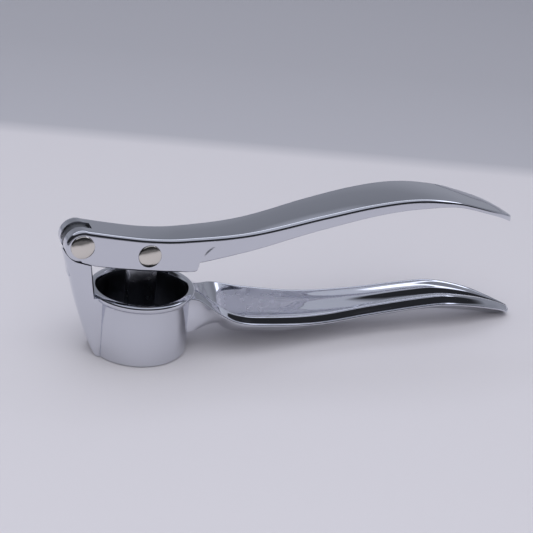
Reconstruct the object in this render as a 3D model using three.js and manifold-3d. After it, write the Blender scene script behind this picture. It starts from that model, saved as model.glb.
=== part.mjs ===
// Garlic press of two cast handles. The lower casting is a round cup with a trough-shaped handle on one side
// and a hinge lug on the other. The upper casting is a channel-shaped lever whose two cheeks straddle the
// lug's tongue. A plunger hangs between the cheeks on its own rivet and pushes garlic through a
// perforated plate on the cup's floor. Both rivets are two-part compression rivets.
// Millimetres. The group's frame has +X along the handles, +Y across them and +Z up; while the pieces are
// made, x = y = 0 is the cup's axis and z = 0 is the table that the cup's foot stands on.
import * as THREE from "three";
import { LoftGeometry } from "three/addons/geometries/LoftGeometry.js";
import { mergeVertices } from "three/addons/utils/BufferGeometryUtils.js";
import Module from "manifold-3d";

// ---- Driving dimensions ----
// Cup
const CUP_HEIGHT = 22.4;
const CUP_BORE_R = 14.8;
const CUP_WALL = 1.4;
const CUP_MOUTH_FLARE = 0.7; // how much wider the bore opens at the rim
const RIM_BEAD = 1.4; // how far the rim bead stands out from the wall
const RIM_DEPTH = 3.0; // height of the rim bead, with the shoulder under it
const LEDGE_WIDTH = 1.7; // floor ledge that carries the perforated plate
const LEDGE_HEIGHT = 1.5;
// Perforated plate
const PLATE_THICKNESS = 1.2;
const HOLE_R = 0.95;
const HOLE_PITCH = 3.3;
// Pivots, set out from the cup's rim
const HINGE_STANDOFF = 4.5; // from the rim out to the hinge
const HINGE_RISE = 17.6; // from the rim up to the hinge
const PIVOT_RISE = 13.2; // from the rim up to the plunger's pivot, which is over the cup's axis
const PLUNGER_PIVOT_X = 0;
// Cheeks, tongue and lug
const CHEEK_SPAN = 12.8; // over both cheeks
const TONGUE_THICKNESS = 4.0;
const CHEEK_INSET = 0.4; // how far inside the rim's far edge the cheeks end
const CHEEK_DEPTH = 6.6; // from the plunger's pivot down to the cheeks' lower corner
const CHEEK_STEP = 3.1; // from that corner up to the skirts
const LUG_NOSE_R = 5.0; // round back of the lug
const LUG_EDGE_R = 0.5;
const LUG_GAP = 1.2; // between the rim and the lug's face
// Lever handle
const LEVER_REACH = 140.3; // its tip, from the cup's axis
const LEVER_ARCH = 11.5; // height of the arch over the lever's lowest top line
const LEVER_HALF_WIDTH = 10.1;
const LEVER_ROOF = 1.9;
const LEVER_SKIRT_WALL = 1.9;
// Lower handle
const LOWER_REACH = 148;
const LOWER_HALF_WIDTH = 14.4;
const GRIP_HALF_WIDTH = 9.0;
const TROUGH_DEPTH = 8;
const TROUGH_WALL = 1.9;
// Plunger
const DISC_THICKNESS = 5.0;
const COLLAR_HEIGHT = 1.6;
const DISC_CLEARANCE = 1.3; // room round the disc, which swings a little as the lever lifts it
const DISC_OFFSET_X = -0.55; // the disc starts this far towards the hinge and swings past the axis
const STEM_WIDTH = 9.6;
const STEM_SHOULDER = 6.5; // from the pivot down to where the stem starts to narrow to its eye
// Rivets
const SHANK_R = 2.0;
const HEAD_OVERLAP = 1.8; // how far the heads stand out past the shank
const HEAD_DOME = 0.95;
// Clearances
const REST_GAP = 0.3; // between pieces that rest on or nest in each other
const SIDE_GAP = 0.2; // each side of the tongue and of the stem, between the cheeks
const RUNNING_GAP = 0.07; // rivet shank in its holes
const HEAD_GAP = 0.15; // under each rivet head

// ---- Derived sizes ----
const CUP_R = CUP_BORE_R + CUP_WALL;
const RIM_R = CUP_R + RIM_BEAD;
const HINGE_X = -(RIM_R + HINGE_STANDOFF);
const HINGE_Z = CUP_HEIGHT + HINGE_RISE;
const PLUNGER_PIVOT_Z = CUP_HEIGHT + PIVOT_RISE;
const CHEEK_REACH = RIM_R - CHEEK_INSET; // where the cheeks end, from the cup's axis
const CHEEK_END_R = SHANK_R + 3.3; // round end of the cheeks about the hinge
const TONGUE_END_R = CHEEK_END_R - 0.4;
const STEM_EYE_R = SHANK_R + 1.9;
const PIN_R = 0.575 * SHANK_R;
const HEAD_R = SHANK_R + HEAD_OVERLAP;
const SLOT_WIDTH = TONGUE_THICKNESS + 2 * SIDE_GAP;
const CHEEK_BOTTOM = PLUNGER_PIVOT_Z - CHEEK_DEPTH;
const LUG_FACE_X = -(RIM_R + LUG_GAP); // the lug's face towards the cup
const LUG_STEP_Z = CUP_HEIGHT - 2.4; // where the lug leaves the cup
const SHOULDER_R = CHEEK_END_R + REST_GAP;
const PLATE_BOTTOM = LEDGE_HEIGHT + REST_GAP;
const PLATE_TOP = PLATE_BOTTOM + PLATE_THICKNESS;
const DISC_BOTTOM = PLATE_TOP + REST_GAP;
const DISC_R = CUP_BORE_R - DISC_CLEARANCE;
const BORE_R = SHANK_R + RUNNING_GAP;
const deg = THREE.MathUtils.degToRad;

// ---- Solids: three.js geometry in, manifold-3d booleans, three.js geometry out ----
const wasm = await Module();
wasm.setup();

function solid(geometry) {
  const bare = new THREE.BufferGeometry();
  bare.setAttribute("position", geometry.getAttribute("position"));
  bare.setIndex(geometry.index);
  const merged = mergeVertices(bare, 1e-4);
  const corners = merged.index.array;
  const kept = [];
  for (let i = 0; i < corners.length; i += 3) {
    const [a, b, c] = corners.subarray(i, i + 3);
    if (a !== b && b !== c && c !== a) kept.push(a, b, c);
  }
  return new wasm.Manifold(
    new wasm.Mesh({
      numProp: 3,
      vertProperties: new Float32Array(merged.attributes.position.array),
      triVerts: new Uint32Array(kept),
    }),
  );
}

function meshOf(name, body, material) {
  const { vertProperties, triVerts } = body.getMesh();
  const geometry = new THREE.BufferGeometry();
  geometry.setAttribute("position", new THREE.BufferAttribute(vertProperties, 3));
  geometry.setIndex(new THREE.BufferAttribute(triVerts, 1));
  geometry.computeVertexNormals();
  const mesh = new THREE.Mesh(geometry, material);
  mesh.name = name;
  return mesh;
}

// A profile of [radius, z] points turned about the z axis.
function turned(profile, segments) {
  const points = profile.map(([r, z]) => new THREE.Vector2(r, z));
  return new THREE.LatheGeometry(points, segments).rotateX(Math.PI / 2);
}

// An outline in the x-z plane, given thickness across y about y = 0.
function plate(outline, thickness, curveSegments = 16) {
  const options = { depth: thickness, bevelEnabled: false, curveSegments };
  const geometry = new THREE.ExtrudeGeometry(outline, options);
  return geometry.rotateX(Math.PI / 2).translate(0, thickness / 2, 0);
}

// A round bar along y through (x, z), used for rivet holes.
function crossBar(x, z, radius, length) {
  return new THREE.CylinderGeometry(radius, radius, length, 32).translate(x, 0, z);
}

// A smooth graph through [x, value] points: x in, value out.
function graph(points) {
  const slope = points.map((p, i) => {
    const a = points[Math.max(i - 1, 0)];
    const b = points[Math.min(i + 1, points.length - 1)];
    return (b[1] - a[1]) / (b[0] - a[0]);
  });
  return (x) => {
    let i = 0;
    while (i < points.length - 2 && x > points[i + 1][0]) i++;
    const [x0, v0] = points[i];
    const [x1, v1] = points[i + 1];
    const h = x1 - x0;
    const t = THREE.MathUtils.clamp((x - x0) / h, 0, 1);
    return (
      v0 * (1 + 2 * t) * (1 - t) ** 2 +
      slope[i] * h * t * (1 - t) ** 2 +
      v1 * t * t * (3 - 2 * t) -
      slope[i + 1] * h * t * t * (1 - t)
    );
  };
}

// Stations along x, closer together towards the far end, where a handle curves to its tip.
function stations(start, end, count) {
  const sweep = deg(78);
  const share = (i) => Math.sin((i / (count - 1)) * sweep) / Math.sin(sweep);
  return Array.from({ length: count }, (_, i) => start + (end - start) * share(i));
}

// ---- Lever: one casting of cheeks, roof and skirts ----
const leverSpan = LEVER_REACH - CHEEK_REACH;
const leverLow = PLUNGER_PIVOT_Z + STEM_EYE_R + 1.2; // lowest point of the lever's top line
const leverAt = (share) => CHEEK_REACH + share * leverSpan;
const leverTop = graph([
  [HINGE_X + 1.6, HINGE_Z + CHEEK_END_R - 0.4],
  [HINGE_X + 12, leverLow + 2.2],
  [PLUNGER_PIVOT_X, leverLow + 0.6],
  [PLUNGER_PIVOT_X + 11, leverLow],
  [leverAt(0.14), leverLow + 0.13 * LEVER_ARCH],
  [leverAt(0.35), leverLow + 0.62 * LEVER_ARCH],
  [leverAt(0.5), leverLow + 0.92 * LEVER_ARCH],
  [leverAt(0.63), leverLow + 1.04 * LEVER_ARCH],
  [leverAt(0.76), leverLow + 0.9 * LEVER_ARCH],
  [leverAt(0.9), leverLow + 0.5 * LEVER_ARCH],
  [LEVER_REACH, leverLow + 0.05 * LEVER_ARCH],
]);
const leverHalf = graph([
  [CHEEK_REACH - 10, CHEEK_SPAN / 2 - 0.6],
  [CHEEK_REACH, CHEEK_SPAN / 2 + 0.35],
  [leverAt(0.2), 0.8 * LEVER_HALF_WIDTH],
  [leverAt(0.38), 0.93 * LEVER_HALF_WIDTH],
  [leverAt(0.58), LEVER_HALF_WIDTH],
  [leverAt(0.75), LEVER_HALF_WIDTH],
  [leverAt(0.88), 0.84 * LEVER_HALF_WIDTH],
  [leverAt(0.96), 0.5 * LEVER_HALF_WIDTH],
  [LEVER_REACH, 0.1 * LEVER_HALF_WIDTH],
]);
const skirtDepth = graph([
  [CHEEK_REACH, 8.6],
  [leverAt(0.11), 6.7],
  [leverAt(0.27), 5.3],
  [leverAt(0.5), 4.3],
  [leverAt(0.65), 3.6],
  [leverAt(0.77), 1.9],
  [leverAt(0.88), 1.5],
  [LEVER_REACH, 1.3],
]);

// The lever's section at x: a crowned roof with rounded edges, and skirts round a channel that is open below.
function leverSection(x) {
  const w = leverHalf(x);
  const depth = skirtDepth(x);
  const top = leverTop(x);
  const round = Math.min(0.9, 0.4 * depth, 0.45 * w);
  const crown = 0.05 * w;
  const wall = Math.min(LEVER_SKIRT_WALL, 0.45 * w);
  const roof = Math.min(LEVER_ROOF, 0.6 * depth);
  const half = [
    [0.93 * (w - wall), top - roof],
    [w - wall, top - roof - 0.35 * (depth - roof)],
    [w - 0.95 * wall, top - 0.98 * depth],
    [w - 0.5 * wall, top - depth],
    [w - 0.06 * wall, top - 0.98 * depth],
    [w, top - 0.75 * depth],
    [w, top - round],
    [w - 0.3 * round, top - 0.3 * round],
    [w - round, top],
    [0.55 * w, top + 0.7 * crown],
  ];
  const underside = [0, top + crown - roof];
  const ridge = [0, top + crown];
  const mirrored = half.map(([y, z]) => [-y, z]).reverse();
  return [underside, ...half, ridge, ...mirrored].map(([y, z]) => new THREE.Vector3(x, y, z));
}

// Outline of the cheeks in x-z: round end about the hinge, top line, step at the reach, and lower edge.
function cheekOutline() {
  const outline = new THREE.Shape();
  outline.absarc(HINGE_X, HINGE_Z, CHEEK_END_R, deg(262), deg(74), true);
  for (let x = HINGE_X + 4; x < CHEEK_REACH + 6; x += 2.5) outline.lineTo(x, leverTop(x) - 0.1);
  outline.lineTo(CHEEK_REACH + 4, leverTop(CHEEK_REACH) - 7.4);
  outline.lineTo(CHEEK_REACH, CHEEK_BOTTOM + CHEEK_STEP);
  outline.lineTo(CHEEK_REACH - 0.5, CHEEK_BOTTOM + 0.4);
  outline.quadraticCurveTo(CHEEK_REACH - 0.6, CHEEK_BOTTOM, CHEEK_REACH - 1.2, CHEEK_BOTTOM);
  outline.lineTo(CHEEK_REACH - 4.2, CHEEK_BOTTOM);
  outline.lineTo(LUG_FACE_X + 0.9, HINGE_Z - CHEEK_END_R - 1.6);
  return outline;
}

// The slot between the cheeks: open above over the tongue, and roofed over the plunger's stem.
function cheekSlot() {
  const slotEnd = LUG_FACE_X + 0.4;
  const stemEnd = PLUNGER_PIVOT_X + STEM_WIDTH;
  const roofAt = (x) => leverTop(x) - 1.5;
  const outline = new THREE.Shape();
  outline.moveTo(HINGE_X - 2 * CHEEK_END_R, CHEEK_BOTTOM - 4);
  outline.lineTo(stemEnd - 1.5, CHEEK_BOTTOM - 4);
  outline.lineTo(stemEnd, roofAt(stemEnd) - 1.5);
  outline.quadraticCurveTo(stemEnd, roofAt(stemEnd), stemEnd - 1.5, roofAt(stemEnd - 1.5));
  for (let x = stemEnd - 4; x > slotEnd; x -= 4) outline.lineTo(x, roofAt(x));
  outline.lineTo(slotEnd, roofAt(slotEnd));
  outline.lineTo(slotEnd, HINGE_Z + 2 * CHEEK_END_R);
  outline.lineTo(HINGE_X - 2 * CHEEK_END_R, HINGE_Z + 2 * CHEEK_END_R);
  const tongueRoom = crossBar(HINGE_X, HINGE_Z, TONGUE_END_R + REST_GAP, SLOT_WIDTH);
  return solid(plate(outline, SLOT_WIDTH)).add(solid(tongueRoom));
}

function upperHandle() {
  const blade = new LoftGeometry(stations(CHEEK_REACH - 9, LEVER_REACH, 34).map(leverSection), {
    capStart: true,
    capEnd: true,
  });
  return solid(plate(cheekOutline(), CHEEK_SPAN))
    .add(solid(blade))
    .subtract(cheekSlot())
    .subtract(solid(crossBar(HINGE_X, HINGE_Z, BORE_R, 2 * CHEEK_SPAN)))
    .subtract(solid(crossBar(PLUNGER_PIVOT_X, PLUNGER_PIVOT_Z, BORE_R, 2 * CHEEK_SPAN)));
}

// ---- Lower handle: one casting of cup, lug and trough ----
const lowerSpan = LOWER_REACH - RIM_R;
const lowerAt = (share) => RIM_R + share * lowerSpan;
const crestHeight = graph([
  [CUP_R - 3, CUP_HEIGHT - 1.2],
  [RIM_R, CUP_HEIGHT - 1.6],
  [lowerAt(0.035), 0.82 * CUP_HEIGHT],
  [lowerAt(0.09), 0.69 * CUP_HEIGHT],
  [lowerAt(0.2), 0.575 * CUP_HEIGHT],
  [lowerAt(0.34), 0.5 * CUP_HEIGHT],
  [lowerAt(0.5), 0.53 * CUP_HEIGHT],
  [lowerAt(0.66), 0.585 * CUP_HEIGHT],
  [lowerAt(0.75), 0.58 * CUP_HEIGHT],
  [lowerAt(0.86), 0.44 * CUP_HEIGHT],
  [lowerAt(0.94), 0.25 * CUP_HEIGHT],
  [LOWER_REACH, 1.5],
]);
const crestHalf = graph([
  [CUP_R - 3, 1.2],
  [RIM_R, 1.6],
  [lowerAt(0.035), 6.0],
  [lowerAt(0.09), 0.9 * LOWER_HALF_WIDTH],
  [lowerAt(0.17), 0.87 * LOWER_HALF_WIDTH],
  [lowerAt(0.34), 0.69 * LOWER_HALF_WIDTH],
  [lowerAt(0.5), 0.83 * GRIP_HALF_WIDTH],
  [lowerAt(0.66), 0.72 * GRIP_HALF_WIDTH],
  [lowerAt(0.79), 0.68 * GRIP_HALF_WIDTH],
  [lowerAt(0.88), 0.47 * GRIP_HALF_WIDTH],
  [lowerAt(0.95), 0.2 * GRIP_HALF_WIDTH],
  [LOWER_REACH, 0.04 * GRIP_HALF_WIDTH],
]);
const lipHalf = graph([
  [CUP_R - 3, 7.5],
  [RIM_R, 8.6],
  [lowerAt(0.045), 0.86 * LOWER_HALF_WIDTH],
  [lowerAt(0.1), LOWER_HALF_WIDTH],
  [lowerAt(0.2), 0.94 * LOWER_HALF_WIDTH],
  [lowerAt(0.35), 0.79 * LOWER_HALF_WIDTH],
  [lowerAt(0.5), 1.05 * GRIP_HALF_WIDTH],
  [lowerAt(0.66), 0.99 * GRIP_HALF_WIDTH],
  [lowerAt(0.79), 0.92 * GRIP_HALF_WIDTH],
  [lowerAt(0.88), 0.7 * GRIP_HALF_WIDTH],
  [lowerAt(0.95), 0.42 * GRIP_HALF_WIDTH],
  [LOWER_REACH, 0.09 * GRIP_HALF_WIDTH],
]);
const bottomHeight = graph([
  [CUP_R - 3, 0.25 * CUP_HEIGHT],
  [RIM_R, 0.285 * CUP_HEIGHT],
  [lowerAt(0.04), 0.35 * CUP_HEIGHT],
  [lowerAt(0.09), 0.375 * CUP_HEIGHT],
  [lowerAt(0.2), 0.31 * CUP_HEIGHT],
  [lowerAt(0.36), 0.205 * CUP_HEIGHT],
  [lowerAt(0.55), 0.23 * CUP_HEIGHT],
  [lowerAt(0.7), 0.275 * CUP_HEIGHT],
  [lowerAt(0.85), 0.15 * CUP_HEIGHT],
  [lowerAt(0.95), 0.4],
  [LOWER_REACH, 0.1],
]);
// Drop from the rails' crest to the lip, half width of the keel, and how far up the keel is full.
const lipDrop = graph([
  [CUP_R - 3, 1.4],
  [RIM_R, 1.5],
  [lowerAt(0.09), 2.3],
  [lowerAt(0.25), 2.7],
  [lowerAt(0.63), 3.4],
  [lowerAt(0.86), 3.0],
  [LOWER_REACH, 0.6],
]);
const keelHalf = graph([
  [CUP_R - 3, 7.4],
  [RIM_R, 7.2],
  [lowerAt(0.04), 6.6],
  [lowerAt(0.09), 7.8],
  [lowerAt(0.2), 0.7 * LOWER_HALF_WIDTH],
  [lowerAt(0.35), 0.58 * LOWER_HALF_WIDTH],
  [lowerAt(0.5), 0.77 * GRIP_HALF_WIDTH],
  [lowerAt(0.79), 0.68 * GRIP_HALF_WIDTH],
  [lowerAt(0.95), 0.3 * GRIP_HALF_WIDTH],
  [LOWER_REACH, 0.05 * GRIP_HALF_WIDTH],
]);
const keelRise = graph([
  [CUP_R - 3, 0.08],
  [RIM_R, 0.1],
  [lowerAt(0.08), 0.22],
  [lowerAt(0.2), 0.4],
  [LOWER_REACH, 0.4],
]);

// The lower handle's section at x: a trough between two rounded rails, outer flanks that slope out to a lip,
// and a crowned underside, which narrows to a keel where the handle joins the cup.
function troughSection(x) {
  const crest = crestHeight(x);
  const c = crestHalf(x);
  const w = lipHalf(x);
  const bottom = bottomHeight(x);
  const depth = Math.min(TROUGH_DEPTH, crest - bottom - TROUGH_WALL, 0.66 * c);
  const floor = crest - Math.max(depth, 0.12 * (crest - bottom));
  const lip = crest - lipDrop(x);
  const k = keelHalf(x);
  const keel = bottom + keelRise(x) * (lip - bottom);
  const half = [
    [0.46 * c, floor + 0.37 * (crest - floor)],
    [0.86 * c, floor + 0.84 * (crest - floor)],
    [c + 0.1 * (w - c), crest],
    [c + 0.55 * (w - c), crest - 0.34 * (crest - lip)],
    [w, lip],
    [0.97 * w, lip - 0.14 * (lip - bottom)],
    [k, keel],
    [0.55 * k, bottom + 0.15 * (keel - bottom)],
  ];
  const left = half.map(([y, z]) => [-y, z]);
  const ring = [[0, floor], ...left, [0, bottom], ...half.reverse()];
  const loop = new THREE.CatmullRomCurve3(
    ring.map(([y, z]) => new THREE.Vector3(x, y, z)),
    true,
    "centripetal",
  );
  return loop.getPoints(36).slice(0, -1);
}

// The cup's outside, solid to the axis: foot, wall, shoulder and rim bead.
function cupOutside() {
  const top = CUP_HEIGHT;
  const shoulder = top - RIM_DEPTH;
  return turned(
    [
      [0, 0],
      [CUP_R - 0.5, 0],
      [CUP_R - 0.15, 0.15],
      [CUP_R, 0.5],
      [CUP_R, shoulder],
      [CUP_R + 0.35 * RIM_BEAD, shoulder + 0.25 * RIM_DEPTH],
      [CUP_R + 0.8 * RIM_BEAD, shoulder + 0.48 * RIM_DEPTH],
      [RIM_R, top - 0.25 * RIM_DEPTH],
      [RIM_R - 0.1, top - 0.2],
      [RIM_R - 0.4, top],
      [0, top],
    ],
    64,
  );
}

// The cup's hollow: outlet under the ledge, bore and flared mouth, running on above the rim.
function cupHollow() {
  const top = CUP_HEIGHT;
  const mouthR = CUP_BORE_R + CUP_MOUTH_FLARE;
  return turned(
    [
      [0, -1],
      [CUP_BORE_R - LEDGE_WIDTH, -1],
      [CUP_BORE_R - LEDGE_WIDTH, LEDGE_HEIGHT],
      [CUP_BORE_R, LEDGE_HEIGHT],
      [CUP_BORE_R, top - 1.3],
      [CUP_BORE_R + 0.3 * CUP_MOUTH_FLARE, top - 0.45],
      [mouthR, top],
      [mouthR, top + 4],
      [0, top + 4],
    ],
    64,
  );
}

// The lug's back edge at height z: it leans away from the cup, from the foot up to the hinge.
const lugBack = graph([
  [0.5, -CUP_R - 0.3],
  [0.08 * HINGE_Z, -CUP_R - 1.5],
  [0.43 * HINGE_Z, HINGE_X - 0.1],
  [0.73 * HINGE_Z, HINGE_X - 3.1],
  [HINGE_Z - 5, HINGE_X - 4.6],
  [HINGE_Z, HINGE_X - SHOULDER_R + 0.2],
]);

// The lug's section at height z: square towards the cup, round at the back.
function lugSection(z) {
  const back = lugBack(z);
  const half = CHEEK_SPAN / 2 - 0.1;
  const lean = THREE.MathUtils.mapLinear(z, LUG_STEP_Z, CUP_HEIGHT + 9, 0.3 - RIM_R, LUG_FACE_X);
  const front = z < LUG_STEP_Z ? -CUP_BORE_R - 0.4 : Math.max(lean, LUG_FACE_X);
  const round = Math.min(LUG_NOSE_R, front - back - LUG_EDGE_R - 0.1);
  const outline = new THREE.Path();
  outline.absarc(back + round, half - round, round, deg(90), deg(180), false);
  outline.absarc(back + round, round - half, round, deg(180), deg(270), false);
  outline.absarc(front - LUG_EDGE_R, LUG_EDGE_R - half, LUG_EDGE_R, deg(270), deg(360), false);
  outline.absarc(front - LUG_EDGE_R, half - LUG_EDGE_R, LUG_EDGE_R, 0, deg(90), false);
  return outline.getPoints(5).map((p) => new THREE.Vector3(p.x, p.y, z));
}

// The lug leans back from the cup's rim, and its top is a seat round the cheeks' round end.
function lug() {
  const step = LUG_STEP_Z;
  const top = HINGE_Z - 1.6;
  const below = [0.5, 1.6, 3.2, 0.4 * step, 0.7 * step, step - 0.02];
  const above = [0, 0.26, 0.54, 0.62, 0.82, 0.9, 1].map((share) => step + share * (top - step));
  const body = new LoftGeometry([...below, ...above].map(lugSection), { capStart: true, capEnd: true });
  const overSeat = new THREE.Shape();
  overSeat.moveTo(HINGE_X - 0.5, HINGE_Z - SHOULDER_R);
  overSeat.lineTo(LUG_FACE_X + 1, HINGE_Z - SHOULDER_R - 1.7);
  overSeat.lineTo(LUG_FACE_X + 1, HINGE_Z + SHOULDER_R);
  overSeat.lineTo(HINGE_X - 0.5, HINGE_Z + SHOULDER_R);
  return solid(body)
    .subtract(solid(crossBar(HINGE_X, HINGE_Z, SHOULDER_R, 2 * CHEEK_SPAN)))
    .subtract(solid(plate(overSeat, 2 * CHEEK_SPAN)));
}

// The lug's tongue, between the cheeks.
function tongueOutline() {
  const outline = new THREE.Shape();
  outline.absarc(HINGE_X, HINGE_Z, TONGUE_END_R, deg(-15), deg(190), false);
  outline.lineTo(HINGE_X - 0.6 * TONGUE_END_R, 0.7 * HINGE_Z);
  outline.lineTo(LUG_FACE_X - 0.5, 0.7 * HINGE_Z);
  return outline;
}

function lowerHandle() {
  const grip = new LoftGeometry(stations(CUP_R - 4, LOWER_REACH, 40).map(troughSection), {
    capStart: true,
    capEnd: true,
  });
  return solid(cupOutside())
    .add(lug())
    .add(solid(plate(tongueOutline(), TONGUE_THICKNESS)))
    .add(solid(grip))
    .subtract(solid(cupHollow()))
    .subtract(solid(crossBar(HINGE_X, HINGE_Z, BORE_R, 2 * CHEEK_SPAN)));
}

// ---- Perforated plate ----
function strainerPlate() {
  const radius = CUP_BORE_R - REST_GAP;
  const outline = new THREE.Shape().absarc(0, 0, radius, 0, 2 * Math.PI);
  const rowHeight = HOLE_PITCH * Math.sin(deg(60));
  const field = CUP_BORE_R - LEDGE_WIDTH - HOLE_R - 0.3;
  const rows = Math.floor(field / rowHeight);
  for (let row = -rows; row <= rows; row++) {
    const shift = row % 2 === 0 ? 0 : HOLE_PITCH / 2;
    for (let column = -rows - 1; column <= rows + 1; column++) {
      const x = column * HOLE_PITCH + shift;
      const y = row * rowHeight;
      const hole = new THREE.Path().absarc(x, y, HOLE_R, 0, 2 * Math.PI);
      if (Math.hypot(x, y) < field) outline.holes.push(hole);
    }
  }
  const options = { depth: PLATE_THICKNESS, bevelEnabled: false, curveSegments: 5 };
  return solid(new THREE.ExtrudeGeometry(outline, options).translate(0, 0, PLATE_BOTTOM));
}

// ---- Plunger: crowned disc, collar, and a flat stem that ends in an eye ----
function plungerDisc() {
  const top = DISC_BOTTOM + DISC_THICKNESS;
  const disc = turned(
    [
      [0, DISC_BOTTOM],
      [DISC_R - 0.8, DISC_BOTTOM],
      [DISC_R - 0.2, DISC_BOTTOM + 0.5],
      [DISC_R, DISC_BOTTOM + 1.5],
      [DISC_R, top - 1.2],
      [DISC_R - 0.3, top - 0.4],
      [DISC_R - 1, top],
      [0.55 * STEM_WIDTH, top],
      [0.3 * STEM_WIDTH, top + COLLAR_HEIGHT],
      [0, top + COLLAR_HEIGHT],
    ],
    56,
  );
  return disc.translate(DISC_OFFSET_X, 0, 0);
}

function stemOutline() {
  const middle = DISC_OFFSET_X;
  const shoulder = PLUNGER_PIVOT_Z - STEM_SHOULDER;
  const outline = new THREE.Shape();
  outline.moveTo(middle - STEM_WIDTH / 2, DISC_BOTTOM + 1);
  outline.lineTo(middle + STEM_WIDTH / 2, DISC_BOTTOM + 1);
  outline.lineTo(middle + STEM_WIDTH / 2, shoulder);
  const waist = shoulder + 3;
  const eyeSide = PLUNGER_PIVOT_X + STEM_EYE_R;
  outline.quadraticCurveTo(middle + STEM_WIDTH / 2, waist, eyeSide, PLUNGER_PIVOT_Z);
  outline.absarc(PLUNGER_PIVOT_X, PLUNGER_PIVOT_Z, STEM_EYE_R, 0, Math.PI, false);
  outline.quadraticCurveTo(middle - STEM_WIDTH / 2, waist, middle - STEM_WIDTH / 2, shoulder);
  return outline;
}

function plunger() {
  return solid(plungerDisc())
    .add(solid(plate(stemOutline(), TONGUE_THICKNESS, 8)))
    .subtract(solid(crossBar(PLUNGER_PIVOT_X, PLUNGER_PIVOT_Z, BORE_R, 2 * CHEEK_SPAN)));
}

// ---- Compression rivets: turned about z, then laid along y with the head outwards ----
const headSeat = CHEEK_SPAN / 2 + HEAD_GAP;

function domeProfile(inner) {
  return [
    [inner, headSeat],
    [HEAD_R - 0.15, headSeat],
    [HEAD_R, headSeat + 0.15],
    [HEAD_R - 0.15, headSeat + 0.38],
    [0.78 * HEAD_R, headSeat + 0.68 * HEAD_DOME],
    [0.45 * HEAD_R, headSeat + 0.91 * HEAD_DOME],
    [0, headSeat + HEAD_DOME],
  ];
}

// The near half: a head with a solid pin.
function rivetPin(x, z) {
  const tip = -headSeat + 2.2;
  const geometry = turned([[0, tip], [PIN_R - 0.3, tip], [PIN_R, tip + 0.4], ...domeProfile(PIN_R)], 32);
  return solid(geometry.rotateX(Math.PI / 2).translate(x, 0, z));
}

// The far half: a head with a hollow shank that takes the pin.
function rivetSleeve(x, z) {
  const mouth = -headSeat + 0.25;
  const socketR = PIN_R + RUNNING_GAP;
  const socketEnd = headSeat - 1.4;
  const socket = [[0, socketEnd], [socketR, socketEnd], [socketR, mouth]];
  const profile = [...socket, [SHANK_R, mouth], ...domeProfile(SHANK_R)];
  return solid(turned(profile, 32).rotateX(-Math.PI / 2).translate(x, 0, z));
}

// ---- Materials ----
const chrome = new THREE.MeshStandardMaterial({ color: 0xc4c6d2, metalness: 1, roughness: 0.08 });
const chromeDull = new THREE.MeshStandardMaterial({ color: 0xa6a8b2, metalness: 1, roughness: 0.25 });
const nickel = new THREE.MeshStandardMaterial({ color: 0xb9b2a6, metalness: 1, roughness: 0.25 });
const steel = new THREE.MeshStandardMaterial({ color: 0xbfc1c4, metalness: 1, roughness: 0.35 });

// ---- Assembly ----
const press = new THREE.Group();
press.add(meshOf("lower_handle", lowerHandle(), chrome));
press.add(meshOf("upper_handle", upperHandle(), chrome));
press.add(meshOf("plunger", plunger(), chromeDull));
press.add(meshOf("strainer_plate", strainerPlate(), steel));
for (const [name, x, z] of [
  ["hinge_rivet", HINGE_X, HINGE_Z],
  ["plunger_rivet", PLUNGER_PIVOT_X, PLUNGER_PIVOT_Z],
]) {
  press.add(meshOf(name + "_pin", rivetPin(x, z), nickel));
  press.add(meshOf(name + "_sleeve", rivetSleeve(x, z), nickel));
}

// The part's origin is on the table, under the middle of the press's overall length.
const extent = new THREE.Box3().setFromObject(press);
press.position.x = -(extent.min.x + extent.max.x) / 2;

export default press;
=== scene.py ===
import logging
import math
from collections.abc import Callable, Sequence
from dataclasses import dataclass, field
from enum import Enum

import bmesh
import bpy
from mathutils import Matrix, Vector


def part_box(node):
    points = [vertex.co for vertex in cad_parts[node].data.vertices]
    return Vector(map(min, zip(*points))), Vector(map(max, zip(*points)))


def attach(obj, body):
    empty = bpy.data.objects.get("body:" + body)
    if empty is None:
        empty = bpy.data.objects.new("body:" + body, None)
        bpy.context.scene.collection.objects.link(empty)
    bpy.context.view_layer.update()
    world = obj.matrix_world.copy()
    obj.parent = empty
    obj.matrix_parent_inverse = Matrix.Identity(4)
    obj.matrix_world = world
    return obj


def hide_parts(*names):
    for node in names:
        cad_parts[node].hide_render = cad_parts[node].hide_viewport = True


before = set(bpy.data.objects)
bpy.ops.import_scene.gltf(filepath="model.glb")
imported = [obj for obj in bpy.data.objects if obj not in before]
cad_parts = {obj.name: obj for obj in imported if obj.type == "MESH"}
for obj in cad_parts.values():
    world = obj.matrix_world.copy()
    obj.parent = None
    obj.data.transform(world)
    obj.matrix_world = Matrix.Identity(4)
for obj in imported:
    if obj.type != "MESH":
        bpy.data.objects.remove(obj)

LOG = logging.getLogger("garlic_press")
MM = 0.001
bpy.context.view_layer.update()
PLATE_LOW, PLATE_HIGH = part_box("strainer_plate")
AXIS_X = (PLATE_LOW.x + PLATE_HIGH.x) / 2 / MM  # the cup's axis in the frame, in millimetres

HINGE = (-22.1, 40.0)  # (x, z) of the lever's hinge
PIVOT = (0.0, 35.6)  # (x, z) of the plunger's pivot
BORE = 2.07  # radius of the rivet holes
SLOT_HALF = 2.2  # half width of the slot between the cheeks
FLAT_HALF = 2.0  # half thickness of the tongue and of the plunger's stem
FLAT_EDGE = 0.35  # how far their edges are rounded
ACROSS = 9.0  # half length of a tool that cuts right across the press
ROUND_STEPS = 64  # steps round a bar or a rivet
CREASE = 32.0  # edges sharper than this many degrees stay sharp
NOISE_RANGE = (0.3, 0.7)  # where nearly all values of a noise texture lie

Pair = tuple[float, float]
Section = list[Vector]


class Body(Enum):
    """The frame's moving bodies."""

    LOWER = "lower"
    UPPER = "upper"
    PLUNGER = "plunger"


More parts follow.
